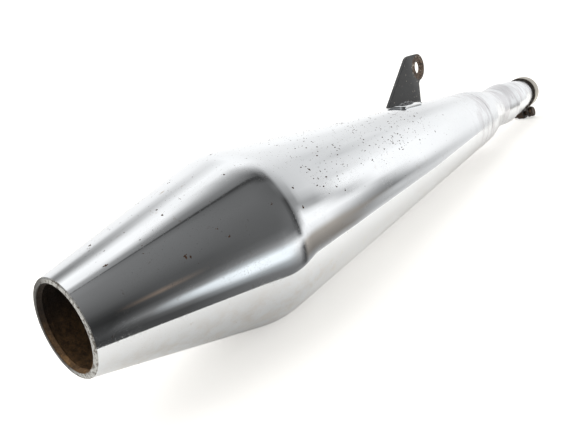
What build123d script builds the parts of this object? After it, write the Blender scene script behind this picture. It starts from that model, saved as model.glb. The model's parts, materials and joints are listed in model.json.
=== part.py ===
"""Reverse-cone exhaust muffler for a motorcycle, as an assembly of separate pieces.

Frame: millimetres, +Z up. The muffler's axis is the X axis. The origin is the centre of the inlet
mouth, +X points forward, out of the inlet, and the mounting bracket stands up along +Z.
"""
import os
from math import cos, radians, sin

from build123d import *

# --- driving dimensions -------------------------------------------------------------------------
sheet = 1.2  # shell sheet, measured square to the axis
fit_gap = 0.1  # slack between nested pieces

# outlet end and reverse cone
outlet_x = -605.0
outlet_r = 24.8  # outside of the reverse cone, carried on to the outlet face
mouth_r = 21.2  # inside of the rolled lip
lip_r = 22.8  # outside of the rolled lip
lip_length = 1.6
cone_setback = 0.5  # the cone's edge lies this far behind the lip's
collar_length = 6.0

# shoulder, the fattest place
shoulder_x = -498.0
shoulder_r = 52.5
shoulder_bend = 60.0
shoulder_joint_x = -485.0
weld_width = 1.6

# long taper, and the pressed cup that closes its front end
cup_joint_x = -177.0
front_edge_x = -156.5
front_edge_r = 27.7
neck_x = -114.0
neck_r = 20.8
cup_mouth_x = -80.0
cup_mouth_r = 22.3
cup_bend = 7.0

# nose cone and slotted inlet sleeve
nose_start_x = -86.0
nose_start_r = 20.7
nose_knee_x = -50.0
nose_knee_r = 19.8
nose_end_x = -28.0
nose_end_r = 17.2
sleeve_start_x = -60.0
sleeve_r = 16.0
pipe_r = 14.4  # bore for a 28.6 mm (1 1/8 in) header pipe
slot_count = 2
slot_width = 2.0
slot_length = 24.0

# inner pipework and baffle plates
tube_wall = 1.2
core_r = sleeve_r + fit_gap + tube_wall  # slides over the rear end of the inlet sleeve
core_front_x = -48.0
core_end_x = -335.0
baffle_sheet = 1.5
baffle_flange = 8.0
front_baffle_x = -182.0
mid_baffle_x = -318.0
rear_baffle_x = -430.0
tail_r = 17.0
tail_front_x = -395.0
tail_rear_x = -470.0
transfer_count = 3
transfer_r = 7.0
transfer_pitch_r = 27.5
transfer_half_length = 30.0
perforation_r = 2.0
perforation_rows = 9
perforations_round = 6
perforation_pitch = 11.0
perforation_first_x = -204.0

# hanging bracket: a flat plate on the muffler's centre plane, on a curved foot
plate_thickness = 3.0
hole_x = -256.0
hole_z = 64.8
hole_r = 5.25  # for an M10 bolt
ear_r = 11.0
plate_rear_x = -312.0
plate_front_x = -258.0
plate_shoulder_x = -273.0
plate_top_z = 75.8
foot_rear_x = -301.0
foot_front_x = -269.0
foot_half_width = 9.0
foot_thickness = 1.8
weld_leg = 2.2

# band clamp on the inlet sleeve, with its bolt
band_x = -9.5
band_width = 12.6
band_r = 16.1
band_thickness = 2.1
ear_angle = -78.0  # direction of the clamp's ears round the axis, 0 = -Y and 90 = +Z
ear_gap = 4.0
ear_reach = 29.6
bolt_reach = 24.4  # from the muffler's axis to the bolt's
bolt_r = 2.95
bolt_clearance_r = 3.2
nut_bore_r = 3.0
hex_flats = 10.0
head_height = 4.0
nut_height = 5.0
washer_r = 6.0
washer_thickness = 1.2
bolt_end = 15.2  # thread end, measured from the middle of the ears

# --- places worked out from them ----------------------------------------------------------------
body_taper = (shoulder_r - front_edge_r) / (front_edge_x - shoulder_x)
cone_taper = (shoulder_r - outlet_r) / (shoulder_x - outlet_x)
cone_start_x = outlet_x + cone_setback
collar_front_x = outlet_x + 2.0
collar_rear_x = outlet_x + collar_length

ear_out = Vector(0, -cos(radians(ear_angle)), sin(radians(ear_angle)))
bolt_along = Vector(0, -sin(radians(-ear_angle)), cos(radians(ear_angle)))
bolt_centre = Vector(band_x, 0, 0) + ear_out * bolt_reach
bolt_plane = Plane(origin=bolt_centre, x_dir=(1, 0, 0), z_dir=bolt_along)
ear_face = ear_gap / 2 + band_thickness


def body_r(x):
    """Outer radius of the long taper at station x."""
    return shoulder_r - body_taper * (x - shoulder_x)


def cone_r(x):
    """Outer radius of the reverse cone at station x."""
    return outlet_r + cone_taper * (x - outlet_x)


def inward(points):
    """The same outline one sheet thickness nearer the axis, run the other way."""
    return [(x, r - sheet) for x, r in reversed(points)]


# --- outlet end ---------------------------------------------------------------------------------
with BuildPart() as outlet_rim:
    # rolled lip, then a collar that lies inside the cone, with a groove between lip and cone
    collar_gap = sheet + fit_gap
    with BuildSketch(Plane.XZ):
        with BuildLine():
            Polyline(
                (outlet_x, mouth_r),
                (outlet_x, lip_r),
                (outlet_x + lip_length, lip_r),
                (collar_front_x, cone_r(collar_front_x) - collar_gap),
                (collar_rear_x, cone_r(collar_rear_x) - collar_gap),
                (collar_rear_x, cone_r(collar_rear_x) - collar_gap - sheet),
                (collar_front_x + 0.4, cone_r(collar_front_x + 0.4) - collar_gap - sheet),
                (collar_front_x + 0.4, mouth_r),
                close=True,
            )
        make_face()
    revolve(axis=Axis.X)
    lip_edges = outlet_rim.edges().filter_by(GeomType.CIRCLE).group_by(Axis.X)[0]
    fillet(lip_edges, radius=0.7)

cone_outline = [
    (cone_start_x, cone_r(cone_start_x)),
    (shoulder_x, shoulder_r),
    (shoulder_joint_x, body_r(shoulder_joint_x)),
]
with BuildPart() as reverse_cone:
    # tail cone with the rounded shoulder, one pressing
    with BuildSketch(Plane.XZ):
        with BuildLine():
            outside = FilletPolyline(cone_outline, radius=shoulder_bend)
            inside = FilletPolyline(inward(cone_outline), radius=shoulder_bend - sheet)
            Line(outside @ 1, inside @ 0)
            Line(inside @ 1, outside @ 0)
        make_face()
    revolve(axis=Axis.X)

# --- long taper and the ground-flush welds at its two ends --------------------------------------
shoulder_weld_x = shoulder_joint_x + weld_width
cup_weld_x = cup_joint_x - weld_width


def taper_band(start, end, crown=0.0):
    """Section of the tapering sheet from one station to another, crowned outward in the middle."""
    middle = (start + end) / 2
    return [
        (start, body_r(start)),
        (middle, body_r(middle) + crown),
        (end, body_r(end)),
        (end, body_r(end) - sheet),
        (start, body_r(start) - sheet),
    ]


with BuildPart() as shoulder_weld:
    with BuildSketch(Plane.XZ):
        with BuildLine():
            Polyline(taper_band(shoulder_joint_x, shoulder_weld_x, crown=0.15), close=True)
        make_face()
    revolve(axis=Axis.X)

with BuildPart() as body_shell:
    with BuildSketch(Plane.XZ):
        with BuildLine():
            Polyline(
                (shoulder_weld_x, body_r(shoulder_weld_x)),
                (cup_weld_x, body_r(cup_weld_x)),
                (cup_weld_x, body_r(cup_weld_x) - sheet),
                (shoulder_weld_x, body_r(shoulder_weld_x) - sheet),
                close=True,
            )
        make_face()
    revolve(axis=Axis.X)

with BuildPart() as cup_weld:
    with BuildSketch(Plane.XZ):
        with BuildLine():
            Polyline(taper_band(cup_weld_x, cup_joint_x, crown=0.25), close=True)
        make_face()
    revolve(axis=Axis.X)

# --- front cup, nose cone and inlet sleeve ------------------------------------------------------
cup_outline = [
    (cup_joint_x, body_r(cup_joint_x)),
    (front_edge_x, front_edge_r),
    (neck_x - 8, neck_r + 0.5),
    (neck_x + 8, neck_r),
    (cup_mouth_x, cup_mouth_r),
]
with BuildPart() as front_cup:
    # closes the long taper: a short band, a rounded edge, a drop to the neck and a flared mouth
    with BuildSketch(Plane.XZ):
        with BuildLine():
            outside = FilletPolyline(cup_outline, radius=cup_bend)
            inside = FilletPolyline(inward(cup_outline), radius=cup_bend)
            Line(outside @ 1, inside @ 0)
            Line(inside @ 1, outside @ 0)
        make_face()
    revolve(axis=Axis.X)

nose_outline = [
    (nose_start_x, nose_start_r - fit_gap),
    (nose_knee_x, nose_knee_r),
    (nose_end_x, nose_end_r),
]
with BuildPart() as nose_cone:
    with BuildSketch(Plane.XZ):
        with BuildLine():
            outside = FilletPolyline(nose_outline, radius=40)
            inside = FilletPolyline(inward(nose_outline), radius=40)
            Line(outside @ 1, inside @ 0)
            Line(inside @ 1, outside @ 0)
        make_face()
    revolve(axis=Axis.X)

with BuildPart() as nose_weld:
    # bead in the step between the cup's mouth and the nose cone
    with BuildSketch(Plane.XZ):
        with BuildLine():
            Polyline(
                (cup_mouth_x, cup_mouth_r - 0.1),
                (cup_mouth_x + 1.4, nose_start_r + 0.3),
                (cup_mouth_x + 2.0, nose_start_r - 0.2),
                (cup_mouth_x, nose_start_r - 0.15),
                close=True,
            )
        make_face()
    revolve(axis=Axis.X)

with BuildPart() as inlet_sleeve:
    # clamping sleeve, slit from its mouth so that the band can close it on the header pipe
    with BuildSketch(Plane.YZ.offset(sleeve_start_x)):
        Circle(sleeve_r)
        Circle(pipe_r, mode=Mode.SUBTRACT)
    extrude(amount=-sleeve_start_x)
    with BuildSketch(Plane.YZ.offset(-slot_length)):
        # one slot lies under the gap between the clamp's ears
        with PolarLocations(0, slot_count, start_angle=180 - ear_angle):
            Rectangle(sleeve_r + 2, slot_width, align=(Align.MIN, Align.CENTER))
    extrude(amount=slot_length, mode=Mode.SUBTRACT)

with BuildPart() as sleeve_weld:
    with BuildSketch(Plane.XZ):
        with BuildLine():
            Polyline(
                (nose_end_x, sleeve_r),
                (nose_end_x, nose_end_r),
                (nose_end_x + 0.8, nose_end_r - 0.1),
                (nose_end_x + 1.8, sleeve_r),
                close=True,
            )
        make_face()
    revolve(axis=Axis.X)

# --- inner pipework -----------------------------------------------------------------------------
with BuildPart() as core_tube:
    # perforated pipe that carries the gas from the inlet into the middle chamber
    with BuildSketch(Plane.YZ.offset(core_end_x)):
        Circle(core_r)
        Circle(core_r - tube_wall, mode=Mode.SUBTRACT)
    extrude(amount=core_front_x - core_end_x)
    for row in range(perforation_rows):
        row_x = perforation_first_x - row * perforation_pitch
        with Locations(Plane(origin=(row_x, 0, 0), x_dir=(0, 1, 0), z_dir=(1, 0, 0))):
            with PolarLocations(0, perforations_round // 2):
                Cylinder(perforation_r, 2 * core_r + 2, rotation=(0, 90, 0), mode=Mode.SUBTRACT)

with BuildPart() as core_end_cap:
    # shallow cup pushed over the closed end of the core tube
    with BuildSketch(Plane.XZ):
        with BuildLine():
            Polyline(
                (core_end_x - baffle_sheet - fit_gap, 0),
                (core_end_x - baffle_sheet - fit_gap, core_r + 1.3),
                (core_end_x + 8, core_r + 1.3),
                (core_end_x + 8, core_r + fit_gap),
                (core_end_x - fit_gap, core_r + fit_gap),
                (core_end_x - fit_gap, 0),
                close=True,
            )
        make_face()
    revolve(axis=Axis.X)


def baffle_section(x, hub_r):
    """Half section of a flanged plate at station x: hub collar, web and rim along the taper."""
    rim_x = x + baffle_flange
    rim_r = body_r(x) - sheet - fit_gap
    rim_end_r = body_r(rim_x) - sheet - fit_gap
    return [
        (x, hub_r),
        (x, rim_r),
        (rim_x, rim_end_r),
        (rim_x, rim_end_r - baffle_sheet),
        (x + baffle_sheet, rim_r - baffle_sheet - 0.2),
        (x + baffle_sheet, hub_r + baffle_sheet),
        (x + baffle_flange, hub_r + baffle_sheet),
        (x + baffle_flange, hub_r),
    ]


with BuildPart() as front_baffle:
    with BuildSketch(Plane.XZ):
        with BuildLine():
            Polyline(baffle_section(front_baffle_x, core_r + fit_gap), close=True)
        make_face()
    revolve(axis=Axis.X)

with BuildPart() as mid_baffle:
    with BuildSketch(Plane.XZ):
        with BuildLine():
            Polyline(baffle_section(mid_baffle_x, core_r + fit_gap), close=True)
        make_face()
    revolve(axis=Axis.X)
    with BuildSketch(Plane.YZ.offset(mid_baffle_x - 1)):
        with PolarLocations(transfer_pitch_r, transfer_count, start_angle=90):
            Circle(transfer_r + fit_gap)
    extrude(amount=baffle_sheet + 2, mode=Mode.SUBTRACT)

with BuildPart() as rear_baffle:
    with BuildSketch(Plane.XZ):
        with BuildLine():
            Polyline(baffle_section(rear_baffle_x, tail_r + fit_gap), close=True)
        make_face()
    revolve(axis=Axis.X)

with BuildPart() as transfer_tubes:
    # three separate tubes through the middle plate
    with BuildSketch(Plane.YZ.offset(mid_baffle_x - transfer_half_length)):
        with PolarLocations(transfer_pitch_r, transfer_count, start_angle=90):
            Circle(transfer_r)
            Circle(transfer_r - tube_wall, mode=Mode.SUBTRACT)
    extrude(amount=2 * transfer_half_length)

with BuildPart() as tail_tube:
    with BuildSketch(Plane.YZ.offset(tail_rear_x)):
        Circle(tail_r)
        Circle(tail_r - tube_wall, mode=Mode.SUBTRACT)
    extrude(amount=tail_front_x - tail_rear_x)

# --- hanging bracket ----------------------------------------------------------------------------
with BuildPart() as bracket_foot:
    # saddle strip that lies on the taper under the plate
    with BuildSketch(Plane.XZ):
        with BuildLine():
            Polyline(
                (foot_rear_x, body_r(foot_rear_x)),
                (foot_front_x, body_r(foot_front_x)),
                (foot_front_x, body_r(foot_front_x) + foot_thickness),
                (foot_rear_x, body_r(foot_rear_x) + foot_thickness),
                close=True,
            )
        make_face()
    revolve(axis=Axis.X)
    with BuildSketch(Plane.XY.offset(10)):
        with Locations(((foot_rear_x + foot_front_x) / 2, 0)):
            RectangleRounded(foot_front_x - foot_rear_x, 2 * foot_half_width, radius=4)
    extrude(amount=100, mode=Mode.INTERSECT)

with BuildPart() as mounting_bracket:
    # plate: slanting rear edge, rounded ear round the bolt hole, upright front edge
    with BuildSketch(Plane.XZ.offset(-plate_thickness / 2)) as plate_outline:
        with BuildLine():
            Polyline(
                (plate_rear_x, body_r(plate_rear_x) + foot_thickness + fit_gap),
                (foot_front_x + 1, body_r(foot_front_x + 1) + foot_thickness + fit_gap),
                (foot_front_x + 1, body_r(foot_front_x + 1) + fit_gap),
                (plate_front_x, body_r(plate_front_x) + fit_gap),
                (plate_front_x + 1, hole_z - ear_r + 1),
                (hole_x, hole_z),
                (hole_x, plate_top_z),
                (plate_shoulder_x, plate_top_z),
                close=True,
            )
        make_face()
        rear_top_corner = plate_outline.vertices().group_by(Axis.Y)[-1].sort_by(Axis.X)[0]
        fillet(rear_top_corner, radius=11)
        with Locations((hole_x, hole_z)):
            Circle(ear_r)
        waist = plate_outline.vertices().filter_by_position(Axis.Y, hole_z - 14, hole_z - 2)
        fillet(waist.sort_by(Axis.X)[-1], radius=4)
        with Locations((hole_x, hole_z)):
            Circle(hole_r, mode=Mode.SUBTRACT)
    extrude(amount=plate_thickness)

with BuildPart() as bracket_welds:
    # fillet beads along both sides of the plate, on the foot, and one at its front end
    for side in (-1, 1):
        corner = side * plate_thickness / 2
        for start, end, lift in (
            (foot_rear_x + 3, foot_front_x - 2, foot_thickness),
            (foot_front_x + 1.5, plate_front_x - 0.5, 0.0),
        ):
            with BuildSketch(Plane.YZ.offset(start)):
                base = body_r(end) + lift - 1.5
                top = body_r(start) + lift + weld_leg
                with BuildLine():
                    Polyline(
                        (corner, base),
                        (corner, top),
                        (corner + side * weld_leg, body_r(start) + lift + 0.2),
                        (corner + side * weld_leg, base),
                        close=True,
                    )
                make_face()
            extrude(amount=end - start)
    add(bracket_foot.part, mode=Mode.SUBTRACT)
    with BuildSketch(Plane.XZ):
        with BuildLine():
            Polyline(
                (plate_rear_x - 20, 0),
                (plate_front_x + 20, 0),
                (plate_front_x + 20, body_r(plate_front_x + 20)),
                (plate_rear_x - 20, body_r(plate_rear_x - 20)),
                close=True,
            )
        make_face()
    revolve(axis=Axis.X, mode=Mode.SUBTRACT)

# --- band clamp ---------------------------------------------------------------------------------
band_plane = Plane(origin=(band_x - band_width / 2, 0, 0), x_dir=ear_out, z_dir=(1, 0, 0))
with BuildPart() as clamp_band:
    # strip bent round the sleeve, its two ends turned out as ears
    with BuildSketch(band_plane):
        Circle(band_r + band_thickness)
        Rectangle(ear_reach, 2 * ear_face, align=(Align.MIN, Align.CENTER))
        Circle(band_r, mode=Mode.SUBTRACT)
        Rectangle(ear_reach + 5, ear_gap, align=(Align.MIN, Align.CENTER), mode=Mode.SUBTRACT)
    extrude(amount=band_width)
    ear_corners = clamp_band.edges().filter_by(Axis((0, 0, 0), bolt_along))
    fillet(ear_corners.sort_by(Axis((0, 0, 0), ear_out))[-4:], radius=3)
    with BuildSketch(bolt_plane.offset(-ear_face - 1)):
        Circle(bolt_clearance_r)
    extrude(amount=2 * ear_face + 2, mode=Mode.SUBTRACT)

with BuildPart() as clamp_bolt:
    # hexagon-head bolt through both ears
    with BuildSketch(bolt_plane.offset(ear_face + fit_gap)):
        RegularPolygon(hex_flats / 2, 6, major_radius=False)
    extrude(amount=head_height)
    with BuildSketch(bolt_plane.offset(-bolt_end)):
        Circle(bolt_r)
    extrude(amount=bolt_end + ear_face + fit_gap + 1)
    bolt_tip = clamp_bolt.edges().filter_by(GeomType.CIRCLE)
    chamfer(bolt_tip.sort_by(Axis((0, 0, 0), bolt_along))[0], length=0.7)

washer_face = -ear_face - fit_gap
with BuildPart() as clamp_washer:
    with BuildSketch(bolt_plane.offset(washer_face - washer_thickness)):
        Circle(washer_r)
        Circle(bolt_clearance_r, mode=Mode.SUBTRACT)
    extrude(amount=washer_thickness)

nut_face = washer_face - washer_thickness - 0.05
with BuildPart() as clamp_nut:
    with BuildSketch(bolt_plane.offset(nut_face - nut_height)):
        RegularPolygon(hex_flats / 2, 6, major_radius=False)
        Circle(nut_bore_r, mode=Mode.SUBTRACT)
    extrude(amount=nut_height)

# --- one STEP file for each piece ---------------------------------------------------------------
pieces = {
    "outlet_rim": outlet_rim,
    "reverse_cone": reverse_cone,
    "shoulder_weld": shoulder_weld,
    "body_shell": body_shell,
    "cup_weld": cup_weld,
    "front_cup": front_cup,
    "nose_cone": nose_cone,
    "nose_weld": nose_weld,
    "inlet_sleeve": inlet_sleeve,
    "sleeve_weld": sleeve_weld,
    "core_tube": core_tube,
    "core_end_cap": core_end_cap,
    "front_baffle": front_baffle,
    "mid_baffle": mid_baffle,
    "rear_baffle": rear_baffle,
    "transfer_tubes": transfer_tubes,
    "tail_tube": tail_tube,
    "bracket_foot": bracket_foot,
    "mounting_bracket": mounting_bracket,
    "bracket_welds": bracket_welds,
    "clamp_band": clamp_band,
    "clamp_bolt": clamp_bolt,
    "clamp_washer": clamp_washer,
    "clamp_nut": clamp_nut,
}
os.makedirs("parts", exist_ok=True)
for label, piece in pieces.items():
    piece.part.label = label
    export_step(piece.part, f"parts/{label}.step")
print(len(pieces), "pieces written")
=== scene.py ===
"""Looks of a chromed reverse-cone muffler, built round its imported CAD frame.

Metres, in the CAD's own frame: the muffler's axis is X, the inlet mouth is X = 0 and the bracket
stands up along +Z. An angle round the axis is 0 towards -Y and 90 towards +Z.
"""
import json
import math
import random

import bmesh
import bpy
from mathutils import Matrix, Vector, noise


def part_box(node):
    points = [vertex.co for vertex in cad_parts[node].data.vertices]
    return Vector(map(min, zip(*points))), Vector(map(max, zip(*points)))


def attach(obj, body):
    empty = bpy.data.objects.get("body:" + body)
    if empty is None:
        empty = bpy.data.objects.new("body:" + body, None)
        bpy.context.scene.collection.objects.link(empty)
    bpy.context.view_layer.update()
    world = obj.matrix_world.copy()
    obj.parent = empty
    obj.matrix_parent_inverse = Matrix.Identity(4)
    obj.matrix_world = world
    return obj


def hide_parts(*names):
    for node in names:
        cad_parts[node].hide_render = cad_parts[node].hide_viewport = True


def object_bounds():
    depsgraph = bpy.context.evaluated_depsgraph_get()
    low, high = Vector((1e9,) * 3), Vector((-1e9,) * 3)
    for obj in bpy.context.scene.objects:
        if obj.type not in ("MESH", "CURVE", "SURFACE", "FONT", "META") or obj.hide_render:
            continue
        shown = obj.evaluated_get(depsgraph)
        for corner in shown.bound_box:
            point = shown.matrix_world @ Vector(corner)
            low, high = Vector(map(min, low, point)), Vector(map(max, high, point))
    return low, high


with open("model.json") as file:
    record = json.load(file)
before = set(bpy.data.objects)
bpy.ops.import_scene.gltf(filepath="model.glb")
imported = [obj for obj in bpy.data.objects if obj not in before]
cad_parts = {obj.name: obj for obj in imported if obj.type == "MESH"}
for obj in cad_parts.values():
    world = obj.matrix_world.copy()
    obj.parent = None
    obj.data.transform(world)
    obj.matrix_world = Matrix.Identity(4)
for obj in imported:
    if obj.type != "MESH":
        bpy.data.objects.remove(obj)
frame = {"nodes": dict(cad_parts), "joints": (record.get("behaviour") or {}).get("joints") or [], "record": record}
cad_low, cad_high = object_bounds()

MM = 0.001
TURNS = 240  # facets round a turned shell


def named(rows, name):
    """The row with this name, among the frame's joints or mounts."""
    return next(row for row in rows if row["name"] == name)


bolt_turn = named(frame["joints"], "bolt_turn")
bolt_axis = Vector(bolt_turn["axis"])
bolt_centre = Vector(bolt_turn["pos_m"])


# --- reading shapes from the frame --------------------------------------------------------------
FACING = 0.3  # least share of a face's normal that points along the radius, for its skin to count


def skin_profile(node, outward=1):
    """(station, radius) points of a turned CAD piece's outer (1) or inner (-1) surface."""
    found = {}
    mesh = frame["nodes"][node].data
    for face in mesh.polygons:
        out = Vector((0, face.center.y, face.center.z)).normalized()
        if face.normal.dot(out) * outward > FACING:
            for index in face.vertices:
                place = mesh.vertices[index].co
                found[round(place.x, 5)] = math.hypot(place.y, place.z)
    return sorted(found.items())


def refined(profile, step):
    """The profile with extra points, so that no two are further apart than step."""
    points = [profile[0]]
    for (x0, r0), (x1, r1) in zip(profile, profile[1:]):
        count = max(1, math.ceil(math.hypot(x1 - x0, r1 - r0) / step))
        for i in range(1, count + 1):
            t = i / count
            points.append((x0 + (x1 - x0) * t, r0 + (r1 - r0) * t))
    return points


def radius_on(profile, x):
    """Radius and slope of a profile at station x."""
    for (x0, r0), (x1, r1) in zip(profile, profile[1:]):
        if x0 <= x <= x1 and x1 > x0:
            slope = (r1 - r0) / (x1 - x0)
            return r0 + slope * (x - x0), slope
    return (profile[0][1], 0.0) if x < profile[0][0] else (profile[-1][1], 0.0)


def on_axis(x, r, angle):
    """Point at station x, radius r and angle round the axis."""
    return Vector((x, -r * math.cos(angle), r * math.sin(angle)))


# --- mesh building ------------------------------------------------------------------------------
def make_object(name, bm, materials, body, smooth_angle=35):
    """Turns a bmesh into a shaded object that rides on a CAD body."""
    bmesh.ops.recalc_face_normals(bm, faces=bm.faces)
    mesh = bpy.data.meshes.new(name)
    bm.to_mesh(mesh)
    bm.free()
    for face in mesh.polygons:
        face.use_smooth = True
    mesh.set_sharp_from_angle(angle=math.radians(smooth_angle))
    for material in materials:
        mesh.materials.append(material)
    piece = bpy.data.objects.new(name, mesh)
    bpy.context.scene.collection.objects.link(piece)
    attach(piece, body)
    return piece


def grid_faces(bm, rings, slot=0):
    """Quads between neighbouring closed rings of vertices."""
    count = len(rings[0])
    for ring, after in zip(rings, rings[1:]):
        for i in range(count):
            j = (i + 1) % count
            face = bm.faces.new((ring[i], ring[j], after[j], after[i]))
            face.material_index = slot


def turned(loop, inner_from, shape=None, turns=TURNS, end_slot=1):
    """bmesh turned about X from a closed loop of (station, radius). The points from inner_from on
    are the inner surface, which takes the second material, and the faces that close the two ends
    take end_slot. shape(point, angle) moves a vertex of the outer surface along the radius."""
    bm = bmesh.new()
    rings = []
    for index, (x, r) in enumerate(loop):
        ring = []
        for i in range(turns):
            angle = 2 * math.pi * i / turns
            extra = shape(on_axis(x, r, angle), angle) if shape and index < inner_from else 0.0
            ring.append(bm.verts.new(on_axis(x, r + extra, angle)))
        rings.append(ring)
    for index, (ring, after) in enumerate(zip(rings, rings[1:] + rings[:1])):
        if index < inner_from - 1:
            slot = 0
        elif index in (inner_from - 1, len(rings) - 1):
            slot = end_slot
        else:
            slot = 1
        grid_faces(bm, [ring, after], slot)
    return bm


SHARP_ANGLE = math.radians(30)  # edges that turn more than this are rounded
FLAT_ANGLE = math.radians(0.5)  # faces that turn less than this are joined
SAME_PLACE = 1e-6  # vertices closer than this are one


def softened(node, edge):
    """bmesh copy of a CAD piece whose sharp edges are rounded by edge."""
    bm = bmesh.new()
    bm.from_mesh(frame["nodes"][node].data)
    bmesh.ops.remove_doubles(bm, verts=bm.verts, dist=SAME_PLACE)
    bmesh.ops.dissolve_limit(bm, angle_limit=FLAT_ANGLE, verts=bm.verts, edges=bm.edges)
    corners = [
        e for e in bm.edges
        if len(e.link_faces) == 2 and e.calc_face_angle() > SHARP_ANGLE
    ]
    bmesh.ops.bevel(
        bm, geom=corners, offset=edge, segments=3, affect="EDGES", profile=0.5,
        clamp_overlap=True,
    )
    bmesh.ops.triangulate(bm, faces=[f for f in bm.faces if len(f.verts) > 4])
    return bm


# --- node helpers for materials -----------------------------------------------------------------
class Nodes:
    """A small helper that adds and links shader nodes in one material or world."""

    def __init__(self, tree):
        self.tree = tree
        tree.nodes.clear()

    def add(self, kind, **settings):
        node = self.tree.nodes.new(kind)
        for key, value in settings.items():
            setattr(node, key, value)
        return node

    def link(self, source, target):
        self.tree.links.new(source, target)

    def value_of(self, socket, value):
        """Links a socket, or sets a plain number or colour."""
        if isinstance(value, bpy.types.NodeSocket):
            self.link(value, socket)
        else:
            socket.default_value = value

    def math(self, operation, a, b=0.0):
        node = self.add("ShaderNodeMath", operation=operation)
        self.value_of(node.inputs[0], a)
        self.value_of(node.inputs[1], b)
        return node.outputs[0]

    def times(self, a, b):
        return self.math("MULTIPLY", a, b)

    def spread(self, value, low, high, to_low=0.0, to_high=1.0, smooth=False):
        """Map Range from low..high to to_low..to_high."""
        node = self.add("ShaderNodeMapRange")
        node.interpolation_type = "SMOOTHSTEP" if smooth else "LINEAR"
        self.value_of(node.inputs["Value"], value)
        node.inputs["From Min"].default_value = low
        node.inputs["From Max"].default_value = high
        node.inputs["To Min"].default_value = to_low
        node.inputs["To Max"].default_value = to_high
        return node.outputs["Result"]

    def mix(self, factor, a, b):
        node = self.add("ShaderNodeMix", data_type="RGBA")
        self.value_of(node.inputs["Factor"], factor)
        self.value_of(node.inputs[6], a)
        self.value_of(node.inputs[7], b)
        return node.outputs[2]

    def ramp(self, factor, stops):
        """Colour ramp through (position, colour) stops."""
        node = self.add("ShaderNodeValToRGB")
        elements = node.color_ramp.elements
        while len(elements) > 1:
            elements.remove(elements[-1])
        elements[0].position, elements[0].color = stops[0]
        for position, colour in stops[1:]:
            elements.new(position).color = colour
        self.value_of(node.inputs["Fac"], factor)
        return node.outputs["Color"]

    def axes(self, kind="Object"):
        """X, Y and Z outputs of one kind of coordinates. The object's are in metres."""
        coordinates = self.add("ShaderNodeTexCoord")
        parts = self.add("ShaderNodeSeparateXYZ")
        self.link(coordinates.outputs[kind], parts.inputs["Vector"])
        return parts.outputs

    def place(self, scale):
        """Object coordinates in millimetres, stretched by scale."""
        coordinates = self.add("ShaderNodeTexCoord")
        mapping = self.add("ShaderNodeMapping")
        mapping.inputs["Scale"].default_value = [s / MM for s in scale]
        self.link(coordinates.outputs["Object"], mapping.inputs["Vector"])
        return mapping.outputs["Vector"]

    def noise(self, scale, detail=4.0, roughness=0.55, stretch=(1, 1, 1)):
        """Noise whose scale is in waves per millimetre."""
        node = self.add("ShaderNodeTexNoise")
        self.link(self.place(stretch), node.inputs["Vector"])
        node.inputs["Scale"].default_value = scale
        node.inputs["Detail"].default_value = detail
        node.inputs["Roughness"].default_value = roughness
        return node.outputs["Fac"]

    def bump(self, height, distance, strength=1.0, normal=None):
        node = self.add("ShaderNodeBump")
        node.inputs["Strength"].default_value = strength
        node.inputs["Distance"].default_value = distance
        self.link(height, node.inputs["Height"])
        if normal is not None:
            self.link(normal, node.inputs["Normal"])
        return node.outputs["Normal"]

    def surface(self, **inputs):
        """Principled shader with these inputs, linked to the output."""
        shader = self.add("ShaderNodeBsdfPrincipled")
        for key, value in inputs.items():
            self.value_of(shader.inputs[key.replace("_", " ")], value)
        output = self.add("ShaderNodeOutputMaterial")
        self.link(shader.outputs["BSDF"], output.inputs["Surface"])


def new_material(name):
    material = bpy.data.materials.new(name)
    material.use_nodes = True
    return material, Nodes(material.node_tree)


def rgb(red, green, blue):
    return (red, green, blue, 1.0)


def halfway(a, b):
    """Colour halfway between two."""
    return tuple((p + q) / 2 for p, q in zip(a, b))


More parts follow.
